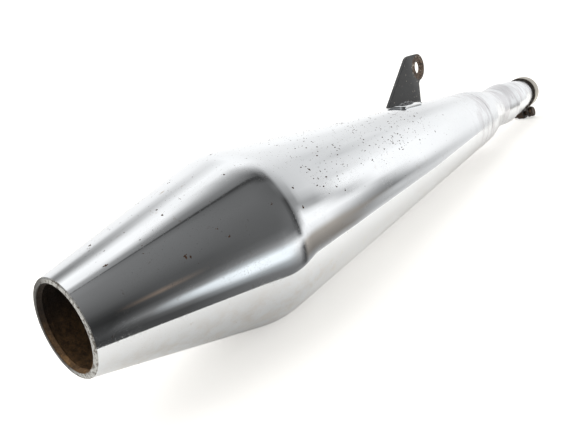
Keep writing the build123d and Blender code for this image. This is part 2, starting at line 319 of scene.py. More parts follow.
# --- materials ----------------------------------------------------------------------------------
def chrome_material(name, wear):
    """Mirror plating with faint polishing lines along the axis, dull freckles and brown stains. Ahead, towards the
    inlet, it is hazy and carries grey patches of painted reflection; below it carries painted shade, darker,
    warmer and mottled; and it is pitted on its upper side."""
    material, n = new_material(name)
    place = n.axes()
    lines = n.noise(2.2, detail=4, stretch=(0.04, 1, 1))
    cloud = n.noise(0.03, detail=5)
    freckle = n.spread(n.noise(2.4, detail=2), 0.60, 0.70)
    patch = n.spread(n.noise(0.05, detail=3), 0.42, 0.58, smooth=True)
    dull = n.times(freckle, patch)
    stain_edge = n.spread(n.noise(0.09, detail=6, roughness=0.7), 0.63, 0.74)
    stain = n.times(stain_edge, wear)
    plate = n.mix(cloud, rgb(0.83, 0.855, 0.875), rgb(0.91, 0.925, 0.94))
    plate = n.mix(n.times(dull, 0.35), plate, rgb(0.62, 0.58, 0.52))
    colour = n.mix(stain, plate, rgb(0.50, 0.40, 0.31))
    ahead = n.spread(place["X"], -235 * MM, -190 * MM, smooth=True)
    # Grey patches ahead, towards the inlet, are painted reflection in the plating's colour; the extra roughness
    # there is haze.
    painted_reflection_patches = n.spread(n.noise(0.10, detail=4, stretch=(1, 0.3, 0.3)), 0.46, 0.60, smooth=True)
    colour = n.mix(n.times(n.times(ahead, painted_reflection_patches), 0.55), colour, rgb(0.60, 0.58, 0.60))
    # Painted shade: towards the bottom the plating's colour is made darker, warmer and mottled.
    below = n.spread(place["Z"], -6 * MM, -26 * MM, smooth=True)
    mottle = n.spread(n.noise(0.11, detail=7, roughness=0.72), 0.44, 0.62)
    colour = n.mix(n.times(n.times(below, mottle), 0.5), colour, rgb(0.74, 0.69, 0.63))
    upper = n.spread(place["Z"], 8 * MM, 40 * MM, smooth=True)
    pits = n.spread(n.noise(0.75, detail=4, roughness=0.6), 0.655, 0.69)
    pits = n.times(pits, n.spread(n.noise(0.035, detail=3), 0.42, 0.56, smooth=True))
    pits = n.times(pits, upper)
    colour = n.mix(n.times(pits, 0.8), colour, rgb(0.20, 0.155, 0.12))
    rough = n.math("ADD", n.spread(cloud, 0.3, 0.7, 0.010, 0.032), n.times(dull, 0.20))
    rough = n.math("ADD", rough, n.times(ahead, 0.20))
    rough = n.math("ADD", rough, n.times(n.math("MAXIMUM", stain, pits), 0.25))
    normal = n.bump(lines, 0.000004, 0.5)
    normal = n.bump(dull, 0.00001, 0.6, normal)
    n.surface(Base_Color=colour, Metallic=1.0, Roughness=rough, Normal=normal)
    return material


def rust_material(name, dark, light, scale=0.35):
    """Flaking rust between a dark and a light brown."""
    material, n = new_material(name)
    flakes = n.noise(scale, detail=8, roughness=0.7)
    grains = n.noise(scale * 9, detail=3)
    tone = n.math("ADD", n.times(flakes, 0.75), n.times(grains, 0.25))
    colour = n.ramp(tone, [(0.36, dark), (0.50, halfway(dark, light)), (0.64, light)])
    n.surface(
        Base_Color=colour, Metallic=0.15, Roughness=n.spread(grains, 0.3, 0.7, 0.78, 0.9),
        Normal=n.bump(tone, 0.0004, 0.8),
    )
    return material


def bore_material():
    """Inside of the tail cone: orange rust near the mouth, and painted shade, near black, further in and above."""
    material, n = new_material("rusty_bore")
    place = n.axes()
    flakes = n.noise(0.30, detail=9, roughness=0.72)
    grains = n.noise(2.2, detail=4)
    tone = n.math("ADD", n.times(flakes, 0.7), n.times(grains, 0.3))
    rust = n.ramp(tone, [
        (0.38, rgb(0.060, 0.034, 0.018)),
        (0.50, rgb(0.15, 0.088, 0.042)),
        (0.62, rgb(0.31, 0.175, 0.075)),
    ])
    outlet = cad_low.x
    # Painted shade: the bore turns near black further in from the mouth and towards its top.
    depth = n.spread(place["X"], outlet + 4 * MM, outlet + 55 * MM, smooth=True)
    height = n.spread(place["Z"], -20 * MM, 6 * MM, smooth=True)
    painted_bore_shade = n.math("MAXIMUM", depth, n.times(height, 0.92))
    colour = n.mix(painted_bore_shade, rust, rgb(0.016, 0.012, 0.010))
    n.surface(Base_Color=colour, Roughness=0.93, Normal=n.bump(tone, 0.0006, 0.9))
    return material


def lip_material():
    """Rolled lip of pale worn steel with rough dark spots, and painted shade on its +Y side."""
    material, n = new_material("worn_lip")
    grain = n.noise(1.3, detail=6, roughness=0.7)
    spots = n.spread(n.noise(0.55, detail=4), 0.50, 0.60)
    colour = n.mix(spots, rgb(0.62, 0.62, 0.60), rgb(0.17, 0.155, 0.135))
    # Painted shade: the lip is made near black on its +Y side.
    painted_shade_side = n.spread(n.axes()["Y"], -4 * MM, 12 * MM, smooth=True)
    colour = n.mix(n.times(painted_shade_side, 0.85), colour, rgb(0.06, 0.055, 0.05))
    n.surface(
        Base_Color=colour, Metallic=n.spread(spots, 0, 1, 1.0, 0.5),
        Roughness=n.spread(grain, 0.3, 0.7, 0.28, 0.62), Normal=n.bump(grain, 0.00022, 0.8),
    )
    return material


def paint_material():
    """Satin black paint over steel, dusty, with bare and rusty chips and a rusty washer print."""
    material, n = new_material("bracket_paint")
    hole = Vector(named(frame["record"]["mounts"], "bracket_hole")["pos_m"])
    coordinates = n.add("ShaderNodeTexCoord")
    away = n.add("ShaderNodeVectorMath", operation="DISTANCE")
    n.link(coordinates.outputs["Object"], away.inputs[0])
    away.inputs[1].default_value = hole
    ragged = n.times(n.math("SUBTRACT", n.noise(0.55, detail=5), 0.5), 5 * MM)
    ring = n.math("ADD", away.outputs["Value"], ragged)
    print_mask = n.spread(ring, 9.6 * MM, 10.8 * MM, 1.0, 0.0)
    near_ring = n.spread(away.outputs["Value"], 9 * MM, 22 * MM, 0.045, 0.0)
    chipping = n.math("ADD", n.noise(0.33, detail=6, roughness=0.65), near_ring)
    chips = n.spread(chipping, 0.645, 0.67)
    dust = n.noise(0.12, detail=6)
    orange_peel = n.noise(1.4, detail=2)
    paint = n.mix(dust, rgb(0.020, 0.022, 0.024), rgb(0.060, 0.062, 0.064))
    rust = n.mix(n.spread(n.noise(0.9, detail=5), 0.40, 0.60), rgb(0.045, 0.030, 0.022),
                 rgb(0.20, 0.135, 0.095))
    colour = n.mix(print_mask, paint, rust)
    colour = n.mix(chips, colour, rgb(0.42, 0.38, 0.33))
    bare = n.math("MAXIMUM", print_mask, chips)
    rough = n.math("ADD", n.spread(dust, 0.3, 0.7, 0.34, 0.46), n.times(bare, 0.3))
    normal = n.bump(orange_peel, 0.00002, 0.5)
    n.surface(Base_Color=colour, Roughness=rough, Normal=n.bump(bare, -0.00008, 0.6, normal))
    return material


def bead_material():
    """Weld bead of bare grey steel, with black paint left on it in patches."""
    material, n = new_material("weld_bead")
    grain = n.noise(0.9, detail=5, roughness=0.65)
    bare = n.spread(grain, 0.42, 0.52)
    colour = n.mix(bare, rgb(0.05, 0.05, 0.052), rgb(0.42, 0.43, 0.45))
    n.surface(
        Base_Color=colour, Metallic=n.times(bare, 0.9),
        Roughness=n.spread(grain, 0.3, 0.7, 0.5, 0.3), Normal=n.bump(grain, 0.00012, 0.6),
    )
    return material


def clamp_material():
    """Dull plating on the band, stained brown along its rear edge, darker towards the bottom, and cream further
    forward."""
    material, n = new_material("clamp_plating")
    place = n.axes()
    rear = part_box("clamp_band")[0].x
    blotch = n.noise(0.35, detail=7, roughness=0.65)
    edge = n.math("ADD", place["X"], n.times(blotch, 4 * MM))
    brown = n.spread(edge, rear + 2.0 * MM, rear + 3.4 * MM, 1.0, 0.0, smooth=True)
    colour = n.mix(brown, rgb(0.60, 0.57, 0.51), rgb(0.060, 0.048, 0.040))
    # Darker towards the bottom: the band's underside is made near black.
    below = n.spread(place["Z"], -19 * MM, -14 * MM, 1.0, 0.0)
    colour = n.mix(below, colour, rgb(0.050, 0.042, 0.037))
    n.surface(
        Base_Color=colour, Metallic=n.spread(brown, 0, 1, 0.75, 0.45),
        Roughness=n.spread(blotch, 0.3, 0.7, 0.34, 0.6), Normal=n.bump(blotch, 0.00012, 0.6),
    )
    return material


def fastener_material():
    """Heat-darkened steel with blotches of rust."""
    material, n = new_material("dark_fastener")
    blotch = n.noise(0.7, detail=6, roughness=0.65)
    colour = n.mix(n.spread(blotch, 0.46, 0.60), rgb(0.052, 0.047, 0.043), rgb(0.15, 0.082, 0.045))
    n.surface(
        Base_Color=colour, Metallic=0.7, Roughness=n.spread(blotch, 0.3, 0.7, 0.4, 0.7),
        Normal=n.bump(blotch, 0.0001, 0.5),
    )
    return material


chrome = chrome_material("chrome", wear=0.25)
stained_chrome = chrome_material("stained_chrome", wear=0.7)
inner_rust = rust_material("inner_steel", rgb(0.04, 0.022, 0.014), rgb(0.20, 0.10, 0.05))
pit_rust = rust_material("pit_rust", rgb(0.018, 0.010, 0.007), rgb(0.13, 0.06, 0.03), scale=1.5)
bore = bore_material()
lip = lip_material()
paint = paint_material()
bead_steel = bead_material()
plating = clamp_material()
fastener = fastener_material()


# --- chromed shells -----------------------------------------------------------------------------
def waviness(point):
    """Slow unevenness of hand-polished sheet, about a hundredth of a millimetre high."""
    slow = noise.noise(point * 22.0)
    quick = noise.noise(point * 75.0 + Vector((3, 1, 7)))
    return 0.016 * MM * slow + 0.003 * MM * quick


DENTS = (  # station, angle, depth and reach of each shallow dent
    (-0.452, math.radians(-3), 0.06 * MM, 13 * MM),
    (-0.492, math.radians(14), 0.04 * MM, 9 * MM),
)


def dented(point, angle):
    """Waviness with a few shallow dents, in the form that turned asks for."""
    extra = waviness(point)
    radius = math.hypot(point.y, point.z)
    for x, at, depth, reach in DENTS:
        away = (point - on_axis(x, radius, at)).length / reach
        if away < 3:
            extra -= depth * math.exp(-away * away)
    return extra


def shell(name, nodes, outer, inner, materials, step=4 * MM):
    """Turned shell with a closed section, which stands for some CAD nodes. Its end faces take the
    last material."""
    outside = refined(outer, step)
    inside = refined(inner[::-1], 4 * step)
    bm = turned(outside + inside, len(outside), dented, end_slot=len(materials) - 1)
    piece = make_object(name, bm, materials, "muffler")
    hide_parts(*nodes)
    return piece


def joined_profile(*nodes, outward=1):
    """One profile through several turned CAD pieces that meet end to end."""
    return sorted(set(p for node in nodes for p in skin_profile(node, outward)))


def build_shells():
    """All shells. Gives the outer profiles of the tail cone and of the taper ahead of it."""
    tail = skin_profile("reverse_cone")
    shell("tail_cone_shell", ["reverse_cone"], tail, skin_profile("reverse_cone", -1),
          [stained_chrome, bore, lip])
    taper = [tail[-1]] + skin_profile("body_shell")
    shell("taper_shell", ["shoulder_weld", "body_shell"], taper,
          joined_profile("shoulder_weld", "body_shell", outward=-1), [chrome, inner_rust])
    cup_nodes = ("cup_weld", "front_cup")
    shell("front_cup_shell", cup_nodes, joined_profile(*cup_nodes),
          joined_profile(*cup_nodes, outward=-1), [chrome, inner_rust], step=2 * MM)
    shell("nose_shell", ["nose_cone"], skin_profile("nose_cone"), skin_profile("nose_cone", -1),
          [chrome, inner_rust], step=2 * MM)
    return tail, taper


LIP_LENGTH = 1.6 * MM
LIP_EDGE = 0.7 * MM  # radius of its two rounded edges
LIP_GAP = 0.1 * MM  # how far the lip stays inside the cone's skin and clear of the collar
LIP_THINNING = 1.4 * MM  # how much narrower the lip is on its +Y side
LIP_BATTER = 0.12 * MM
COLLAR_START = 2.4 * MM  # from the mouth to the near end of the collar's bore
COLLAR_RISE = 0.5 * MM  # the collar's inner skin is at least this much wider than the lip's bore


def build_lip():
    """Lip with a rough, slightly battered edge that reaches over the cone's cut end, and the rusty
    collar behind it."""
    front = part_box("outlet_rim")[0].x
    inner = min(r for x, r in skin_profile("outlet_rim", -1))
    collar = [p for p in skin_profile("outlet_rim") if p[0] > front + LIP_LENGTH + LIP_GAP]
    hidden = [p for p in skin_profile("outlet_rim", -1) if p[1] > inner + COLLAR_RISE]
    outer = min(r for x, r in tail_profile) - LIP_GAP
    loop = [(front + LIP_LENGTH, inner)]
    for centre_r, start in ((inner + LIP_EDGE, 270), (outer - LIP_EDGE, 180)):
        for i in range(9):
            turn = math.radians(start - 90 * i / 8)
            loop.append((front + LIP_EDGE + LIP_EDGE * math.cos(turn),
                         centre_r + LIP_EDGE * math.sin(turn)))
    loop.append((front + LIP_LENGTH, outer))
    worn = len(loop)
    loop += collar + hidden[::-1] + [(front + COLLAR_START, inner)]

    def battered(point, angle):
        rough = noise.noise(point * 420.0) + 0.6 * noise.noise(point * 1300.0)
        inward = (outer - math.hypot(point.y, point.z)) / (outer - inner)
        thinned = LIP_THINNING * max(0.0, inward) * (1 - math.cos(angle)) / 2
        return LIP_BATTER * rough + thinned

    bm = turned(loop, worn, battered, turns=540)
    piece = make_object("rolled_lip", bm, [lip, bore], "muffler")
    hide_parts("outlet_rim")


WELD_PITCH = 2.4 * MM  # from one ripple to the next
WELD_ROOT = 0.4 * MM  # how deep a bead reaches under the skin
WELD_RIPPLE = 0.16 * MM


def build_ring_weld(node, name):
    """Circumferential bead with the ripples of a hand weld."""
    outer = skin_profile(node)
    low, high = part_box(node)
    base = min(r for x, r in outer) - WELD_ROOT
    loop = refined(outer, 0.5 * MM) + [(high.x, base), (low.x, base)]
    crest = max(r for x, r in outer)
    ripples = round(2 * math.pi * crest / WELD_PITCH)

    def rippled(point, angle):
        rise = (math.hypot(point.y, point.z) - base) / (crest - base)
        wave = math.sin(angle * ripples + 2 * noise.noise(point * 90))
        return rise * WELD_RIPPLE * (wave - 0.6)

    bm = turned(loop, len(loop), rippled, turns=480)
    piece = make_object(name, bm, [stained_chrome, stained_chrome], "muffler", smooth_angle=60)
    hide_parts(node)


def cut_away(piece, low, high, turn):
    """Cuts the box between two corners, turned about X, out of a piece."""
    bm = bmesh.new()
    bmesh.ops.create_cube(bm, size=1.0)
    for vertex in bm.verts:
        for axis in range(3):
            vertex.co[axis] = high[axis] if vertex.co[axis] > 0 else low[axis]
    mesh = bpy.data.meshes.new("cutter")
    bm.to_mesh(mesh)
    bm.free()
    cutter = bpy.data.objects.new("cutter", mesh)
    bpy.context.scene.collection.objects.link(cutter)
    cutter.rotation_euler = (turn, 0, 0)
    cut = piece.modifiers.new("slots", "BOOLEAN")
    cut.operation = "DIFFERENCE"
    cut.solver = "EXACT"
    cut.object = cutter
    shaped = piece.evaluated_get(bpy.context.evaluated_depsgraph_get())
    result = bpy.data.meshes.new_from_object(shaped)
    piece.modifiers.clear()
    piece.data = result
    bpy.data.objects.remove(cutter)
    bpy.data.meshes.remove(mesh)


SLOT_WIDTH = 2 * MM
SLOT_LENGTH = 24 * MM
SLOT_END = 2 * MM  # sleeve left whole behind the slots before its next ring of vertices
MOUTH_EDGE = 0.5 * MM  # how far the mouth's rounding reaches
MOUTH_CORNER = 0.15 * MM  # how far its middle stands in from the sharp corner


def build_sleeve():
    """Clamping sleeve with a rounded mouth and two slots, in line with the clamp's ears."""
    low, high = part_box("inlet_sleeve")
    outer = high.z
    inner = min(math.hypot(v.co.y, v.co.z) for v in frame["nodes"]["inlet_sleeve"].data.vertices)
    outside = refined([
        (low.x, outer),
        (-SLOT_LENGTH - SLOT_END, outer),
        (high.x - MOUTH_EDGE, outer),
        (high.x - MOUTH_CORNER, outer - MOUTH_CORNER),
        (high.x, outer - MOUTH_EDGE),
    ], 6 * MM)
    bm = turned(outside + [(high.x, inner), (low.x, inner)], len(outside))
    piece = make_object("slotted_sleeve", bm, [stained_chrome, inner_rust], "muffler")
    reach = outer + 5 * MM
    ear_turn = math.atan2(-bolt_centre.y, bolt_centre.z)
    slot_low = (-SLOT_LENGTH, -SLOT_WIDTH / 2, -reach)
    slot_high = (high.x + MM, SLOT_WIDTH / 2, reach)
    cut_away(piece, slot_low, slot_high, ear_turn)
    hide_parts("inlet_sleeve")


tail_profile, taper_profile = build_shells()
build_lip()
build_sleeve()
build_ring_weld("nose_weld", "nose_bead")
build_ring_weld("sleeve_weld", "sleeve_bead")


# --- rust blisters on the plating ---------------------------------------------------------------
BLISTER_ROOT = 0.03 * MM  # how deep its rim is sunk into the plating
BLISTER_RISE = 0.05 * MM
BLISTER_SWELL = 0.10  # further rise, as a share of its size


def profile_at(x):
    """Profile of the shell that covers station x."""
    return tail_profile if x < tail_profile[-1][0] else taper_profile


def blister(bm, dice, profile, x, angle, size):
    """One ragged blister, which stands up to 0.15 mm off the plating."""
    radius, slope = radius_on(profile, x)
    along = Vector((1, 0, 0)) + slope * on_axis(0, 1, angle)
    along.normalize()
    around = Vector((0, math.sin(angle), math.cos(angle)))
    out = along.cross(around)
    if out.dot(on_axis(0, 1, angle)) < 0:
        out = -out
    centre = on_axis(x, radius, angle)
    corners = dice.randint(6, 9)
    stretch = dice.uniform(0.6, 1.9)
    rim = []
    for i in range(corners):
        turn = 2 * math.pi * i / corners
        reach = size * dice.uniform(0.55, 1.1)
        forth = along * math.cos(turn) * reach * stretch
        offset = forth + around * math.sin(turn) * reach / stretch
        rim.append(bm.verts.new(centre + offset - out * BLISTER_ROOT))
    top = bm.verts.new(centre + out * (BLISTER_RISE + BLISTER_SWELL * size))
    for i in range(corners):
        bm.faces.new((rim[i], rim[(i + 1) % corners], top))


BLISTER_FIELDS = (  # count, station range, range of angles in degrees, of sizes in mm, clustering
    (380, (-0.470, -0.300), (26, 88), (0.28, 0.95), 0.6),
    (200, (-0.475, -0.200), (12, 88), (0.16, 0.50), 0.55),
    (300, (-0.480, -0.185), (88, 200), (0.16, 0.55), 0.5),
    (70, (-0.480, -0.185), (-60, 12), (0.14, 0.40), 0.4),
    (80, (-0.590, -0.488), (40, 130), (0.16, 0.50), 0.5),
    (60, (-0.590, -0.488), (130, 300), (0.16, 0.45), 0.5),
    (26, (-0.590, -0.488), (-60, 40), (0.14, 0.30), 0.0),
)
BIG_BLISTERS = (  # station, angle in degrees, size in mm
    (-0.582, 90, 0.9), (-0.586, 55, 0.9), (-0.551, 65, 0.7), (-0.550, 73, 0.7), (-0.528, 95, 0.7),
    (-0.498, 92, 0.8), (-0.512, 64, 0.75), (-0.536, 34, 0.5), (-0.533, 26, 0.7), (-0.505, 31, 0.6),
    (-0.487, 21, 0.8), (-0.556, 28, 1.0), (-0.554, 26, 0.8), (-0.486, 34, 0.8), (-0.464, 41, 1.0),
    (-0.452, 23, 0.7), (-0.446, 18, 0.7), (-0.404, 29, 0.8), (-0.463, 33, 0.6), (-0.425, 48, 0.7),
    (-0.388, 40, 0.7), (-0.352, 52, 0.8), (-0.330, 38, 0.6), (-0.300, 60, 0.7), (-0.270, 44, 0.6),
)


def build_blisters():
    """Fields of small blisters, and big ones in ragged threes."""
    dice = random.Random(41)
    bm = bmesh.new()
    for count, stations, angles, sizes, clustering in BLISTER_FIELDS:
        placed = 0
        while placed < count:
            x = dice.uniform(*stations)
            angle = math.radians(dice.uniform(*angles))
            lumps = noise.noise(on_axis(x, 0.05, angle) * 45) * 0.5 + 0.5
            if dice.random() < clustering * (1.6 - 2.2 * lumps):
                continue
            size = (sizes[0] + (sizes[1] - sizes[0]) * dice.random() ** 2) * MM
            blister(bm, dice, profile_at(x), x, angle, size)
            placed += 1
    for x, degrees, size in BIG_BLISTERS:
        angle = math.radians(degrees)
        for i in range(3):
            x_part = x + dice.uniform(-0.8, 0.8) * MM * i
            blister(bm, dice, profile_at(x), x_part, angle + 0.01 * i, size * MM * (1 - 0.3 * i))
    piece = make_object("rust_blisters", bm, [pit_rust], "muffler", smooth_angle=80)


build_blisters()


# --- bracket ------------------------------------------------------------------------------------
def build_bracket():
    plate_shape = softened("mounting_bracket", edge=0.45 * MM)
    plate = make_object("bracket_plate", plate_shape, [paint], "muffler")
    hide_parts("mounting_bracket")
    plate.visible_glossy = False  # its mirror image is lost in the glare on the plating
    foot_shape = softened("bracket_foot", edge=0.4 * MM)
    foot = make_object("bracket_saddle", foot_shape, [stained_chrome], "muffler")
    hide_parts("bracket_foot")


FILLET_LEG = 2.1 * MM
FILLET_PITCH = 2.3 * MM  # from one ripple to the next
FILLET_STEP = 0.45 * MM  # between rings of vertices
FOOT_LIFT = 1.8 * MM  # height of the saddle's top over the shell
RUN_GAP = 1.5 * MM  # from the saddle's front edge to the end of each run
FILLET_FACETS = 6
INTO_PLATE = 0.2 * MM  # how deep the bead's toes are sunk into the plate
INTO_SHELL = 0.25 * MM  # and into the surface under it
CORNER_INTO_PLATE = 0.6 * MM
CORNER_INTO_SHELL = 0.5 * MM


def fillet_ring(bm, x, surface, side, leg):
    """One cross-section of a fillet bead, as a ring of vertices. It is a quarter circle whose
    corner is sunk into the plate and into the surface under it."""
    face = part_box("mounting_bracket")[1].y
    ring = []
    for step in range(FILLET_FACETS + 1):
        turn = math.pi / 2 * step / FILLET_FACETS
        y = side * (face - INTO_PLATE + leg * math.sin(turn))
        z = surface - INTO_SHELL + leg * math.cos(turn)
        ring.append(bm.verts.new((x, y, z)))
    corner = (x, side * (face - CORNER_INTO_PLATE), surface - CORNER_INTO_SHELL)
    ring.append(bm.verts.new(corner))
    return ring


def build_bracket_beads():
    """Rippled fillet beads along both sides of the plate's base, on the saddle and ahead of it."""
    low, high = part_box("bracket_welds")
    foot_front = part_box("bracket_foot")[1].x
    bm = bmesh.new()
    runs = (
        (low.x, foot_front - RUN_GAP, FOOT_LIFT),
        (foot_front + RUN_GAP, high.x, 0.0),
    )
    for side in (-1, 1):
        for start, end, lift in runs:
            count = max(6, round((end - start) / FILLET_STEP))
            rings = []
            for i in range(count + 1):
                x = start + (end - start) * i / count
                surface = radius_on(taper_profile, x)[0] + lift
                wave = math.sin(2 * math.pi * x / FILLET_PITCH)
                ripple = 1 + 0.16 * wave + 0.2 * noise.noise(Vector((x * 300, side, 0)))
                fade = math.sqrt(max(0.02, math.sin(math.pi * (i + 0.25) / (count + 0.5))))
                rings.append(fillet_ring(bm, x, surface, side, FILLET_LEG * ripple * fade))
            grid_faces(bm, rings)
            bm.faces.new(rings[0])
            bm.faces.new(rings[-1])
    piece = make_object("bracket_beads", bm, [bead_steel], "muffler", smooth_angle=70)
    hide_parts("bracket_welds")


build_bracket()
build_bracket_beads()


# --- clamp --------------------------------------------------------------------------------------
HEX_FLATS = 10 * MM
HEX_CORNER = HEX_FLATS / 2 / math.cos(math.radians(30))
CHAMFER = 1.0 * MM  # taken off a hexagon's corners at its ends
CHAMFER_SLOPE = 1.7
CHAMFER_STEPS = 12
THREAD_PITCH = 1 * MM
THREAD_DEPTH = 0.5 * MM
THREAD_STEP = THREAD_PITCH / 8  # between rings of vertices
BOLT_RADIUS = 2.95 * MM
TIP_TAPER = 0.7 * MM  # how much narrower the bolt's tip is
HEAD_UNDERCUT = 0.1 * MM  # how much narrower the head is where it bears
HEAD_RIM = 0.4 * MM
HEAD_HOLLOW = 0.25 * MM  # how deep the middle of the head's top is sunk
HOLLOW_RADIUS = 3.0 * MM
NUT_RADIUS = 3.0 * MM
NUT_PLAY = 0.02 * MM
NUT_MOUTH = 0.8 * MM  # how much wider the nut's bore is at its two ends
NUT_LEAD = 0.6 * MM  # length of the cone that leads in from each end


def along_bolt(node, wider_than=0.0):
    """Lowest and highest distance of a CAD piece along the bolt's axis, for the part of it that
    is wider than a radius."""
    places = []
    for vertex in frame["nodes"][node].data.vertices:
        offset = vertex.co - bolt_centre
        height = offset.dot(bolt_axis)
        if (offset - bolt_axis * height).length > wider_than:
            places.append(height)
    return min(places), max(places)


def bolt_matrix():
    """Local +Z runs along the bolt, its origin is the middle of the ears."""
    across = Vector((1, 0, 0))
    other = bolt_axis.cross(across)
    turn = Matrix((across, other, bolt_axis)).transposed().to_4x4()
    return Matrix.Translation(bolt_centre) @ turn


def hexagon(angle, limit):
    """Radius of a hexagon across an angle, cut back to limit at its corners."""
    sixth = math.radians(60)
    folded = (angle + sixth / 2) % sixth - sixth / 2
    return min(HEX_FLATS / 2 / math.cos(folded), limit)


def thread(angle, z):
    """Height of a V thread at an angle and a place along the axis."""
    phase = (z / THREAD_PITCH - angle / (2 * math.pi)) % 1
    return THREAD_DEPTH * (abs(2 * phase - 1) - 0.5)


FASTENER_FACETS = 96


def stack(bm, rows):
    """Rings of vertices from (z, radius function) rows."""
    rings = []
    for z, radius in rows:
        ring = []
        for i in range(FASTENER_FACETS):
            angle = 2 * math.pi * i / FASTENER_FACETS
            r = radius(angle)
            ring.append(bm.verts.new((r * math.cos(angle), r * math.sin(angle), z)))
        rings.append(ring)
    return rings


def hex_rows(low, high, chamfer_low, chamfer_high):
    """Rows of a hexagon block, with cones taken off the ends that are chamfered."""
    rows = []
    for i in range(CHAMFER_STEPS + 1):
        z = low + (high - low) * i / CHAMFER_STEPS
        cut = 0.0
        if chamfer_low:
            cut = max(cut, CHAMFER - (z - low) * CHAMFER_SLOPE)
        if chamfer_high:
            cut = max(cut, CHAMFER - (high - z) * CHAMFER_SLOPE)
        rows.append((z, lambda a, cut=cut: hexagon(a, HEX_CORNER - cut)))
    return rows


def build_bolt():
    """Threaded to its head, whose top is sunk a little inside its rim."""
    tip, top = along_bolt("clamp_bolt")
    face = along_bolt("clamp_bolt", wider_than=BOLT_RADIUS + 1 * MM)[0]
    bm = bmesh.new()
    rows = []
    count = round((face - tip) / THREAD_STEP)
    for i in range(count + 1):
        z = tip + (face - tip) * i / count
        taper = max(0.0, TIP_TAPER - (z - tip))
        rows.append((z, lambda a, z=z, taper=taper: min(
            BOLT_RADIUS - THREAD_DEPTH / 2 + thread(a, z), BOLT_RADIUS - taper)))
    rows.append((face + 0.001 * MM, lambda a: hexagon(a, HEX_FLATS / 2 - HEAD_UNDERCUT)))
    rows += hex_rows(face + 0.05 * MM, top, False, True)
    rows.append((top, lambda a: HEX_FLATS / 2 - HEAD_RIM))
    rows.append((top - HEAD_HOLLOW, lambda a: HOLLOW_RADIUS))
    rings = stack(bm, rows)
    grid_faces(bm, rings)
    bm.faces.new(rings[0])
    bm.faces.new(rings[-1])
    bm.transform(bolt_matrix())
    piece = make_object("hex_bolt", bm, [fastener], "bolt", smooth_angle=28)
    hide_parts("clamp_bolt")


def build_nut():
    """Threaded right through, with a lead-in at each end."""
    low, high = along_bolt("clamp_nut")
    bm = bmesh.new()
    rows = hex_rows(low, high, True, True)
    rows.append((high, lambda a: NUT_RADIUS + NUT_MOUTH))
    count = round((high - low) / THREAD_STEP)
    for i in range(count + 1):
        z = high - (high - low) * i / count
        lead = max(0.0, NUT_LEAD - min(z - low, high - z))
        rows.append((z, lambda a, z=z, lead=lead: NUT_RADIUS + NUT_PLAY + max(
            thread(a, z) + THREAD_DEPTH / 2, lead)))
    rows.append((low, lambda a: NUT_RADIUS + NUT_MOUTH))
    rings = stack(bm, rows)
    grid_faces(bm, rings + rings[:1])
    bm.transform(bolt_matrix())
    piece = make_object("hex_nut", bm, [fastener], "nut", smooth_angle=28)
    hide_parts("clamp_nut")


def build_clamp():
    """Band, washer, bolt and nut, each on its own body."""
    band_shape = softened("clamp_band", edge=0.35 * MM)
    band = make_object("band_strip", band_shape, [plating], "clamp")
    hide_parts("clamp_band")
    washer_shape = softened("clamp_washer", edge=0.18 * MM)
    washer = make_object("flat_washer", washer_shape, [fastener], "washer")
    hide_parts("clamp_washer")
    build_bolt()
    build_nut()


build_clamp()


# --- materials of the CAD pieces that stay ------------------------------------------------------
INNER_NODES = (
    "core_tube", "core_end_cap", "front_baffle", "mid_baffle", "rear_baffle", "transfer_tubes",
    "tail_tube",
)
for node in INNER_NODES:
    slots = frame["nodes"][node].data.materials
    slots.clear()
    slots.append(inner_rust)


# --- floor, light and camera --------------------------------------------------------------------
FLOOR_REACH = 4.0  # half its side
FLOOR_GAP = 0.3 * MM  # under the muffler
FLOOR_LIFT = 0.42  # even glow of the floor towards the camera, as overexposed paper has


def stage_material():
    """White floor, seen from above only. It glows a little to the camera, and to mirror rays under
    the muffler. Mirror rays pass through it beyond a bent edge, as if a table ended there."""
    material, n = new_material("pale_floor")
    place = n.axes()
    paper = n.noise(0.02, detail=3)
    colour = n.mix(paper, rgb(0.90, 0.895, 0.885), rgb(0.93, 0.927, 0.92))
    diffuse = n.add("ShaderNodeBsdfDiffuse")
    n.link(colour, diffuse.inputs["Color"])
    clear = n.add("ShaderNodeBsdfTransparent")
    path = n.add("ShaderNodeLightPath")
    lift = n.add("ShaderNodeEmission")
    lift.inputs["Color"].default_value = rgb(1.0, 0.985, 0.955)
    front = n.spread(place["X"], -520 * MM, -400 * MM, 0.08, 0.31, smooth=True)
    mirrored = n.times(front, n.spread(place["Y"], -30 * MM, 20 * MM, 1.0, 0.0))
    glow = n.math("ADD", n.times(path.outputs["Is Camera Ray"], FLOOR_LIFT),
                  n.times(path.outputs["Is Glossy Ray"], mirrored))
    n.link(glow, lift.inputs["Strength"])
    lit = n.add("ShaderNodeAddShader")
    n.link(diffuse.outputs["BSDF"], lit.inputs[0])
    n.link(lift.outputs["Emission"], lit.inputs[1])
    # The edge runs nearer to the muffler at both ends than between them.
    rear_edge = n.spread(place["X"], cad_low.x, cad_low.x + 100 * MM, -75 * MM, -87 * MM)
    front_edge = n.spread(place["X"], -440 * MM, -224 * MM, -87 * MM, -62 * MM)
    edge = n.math("MAXIMUM", rear_edge, front_edge)
    beyond = n.spread(n.math("SUBTRACT", edge, place["Y"]), 0, 3 * MM)
    mix = n.add("ShaderNodeMixShader")
    side = n.add("ShaderNodeNewGeometry")
    passing = n.times(beyond, path.outputs["Is Glossy Ray"])
    n.link(n.math("MAXIMUM", passing, side.outputs["Backfacing"]), mix.inputs["Fac"])
    n.link(lit.outputs["Shader"], mix.inputs[1])
    n.link(clear.outputs["BSDF"], mix.inputs[2])
    output = n.add("ShaderNodeOutputMaterial")
    n.link(mix.outputs["Shader"], output.inputs["Surface"])
    return material


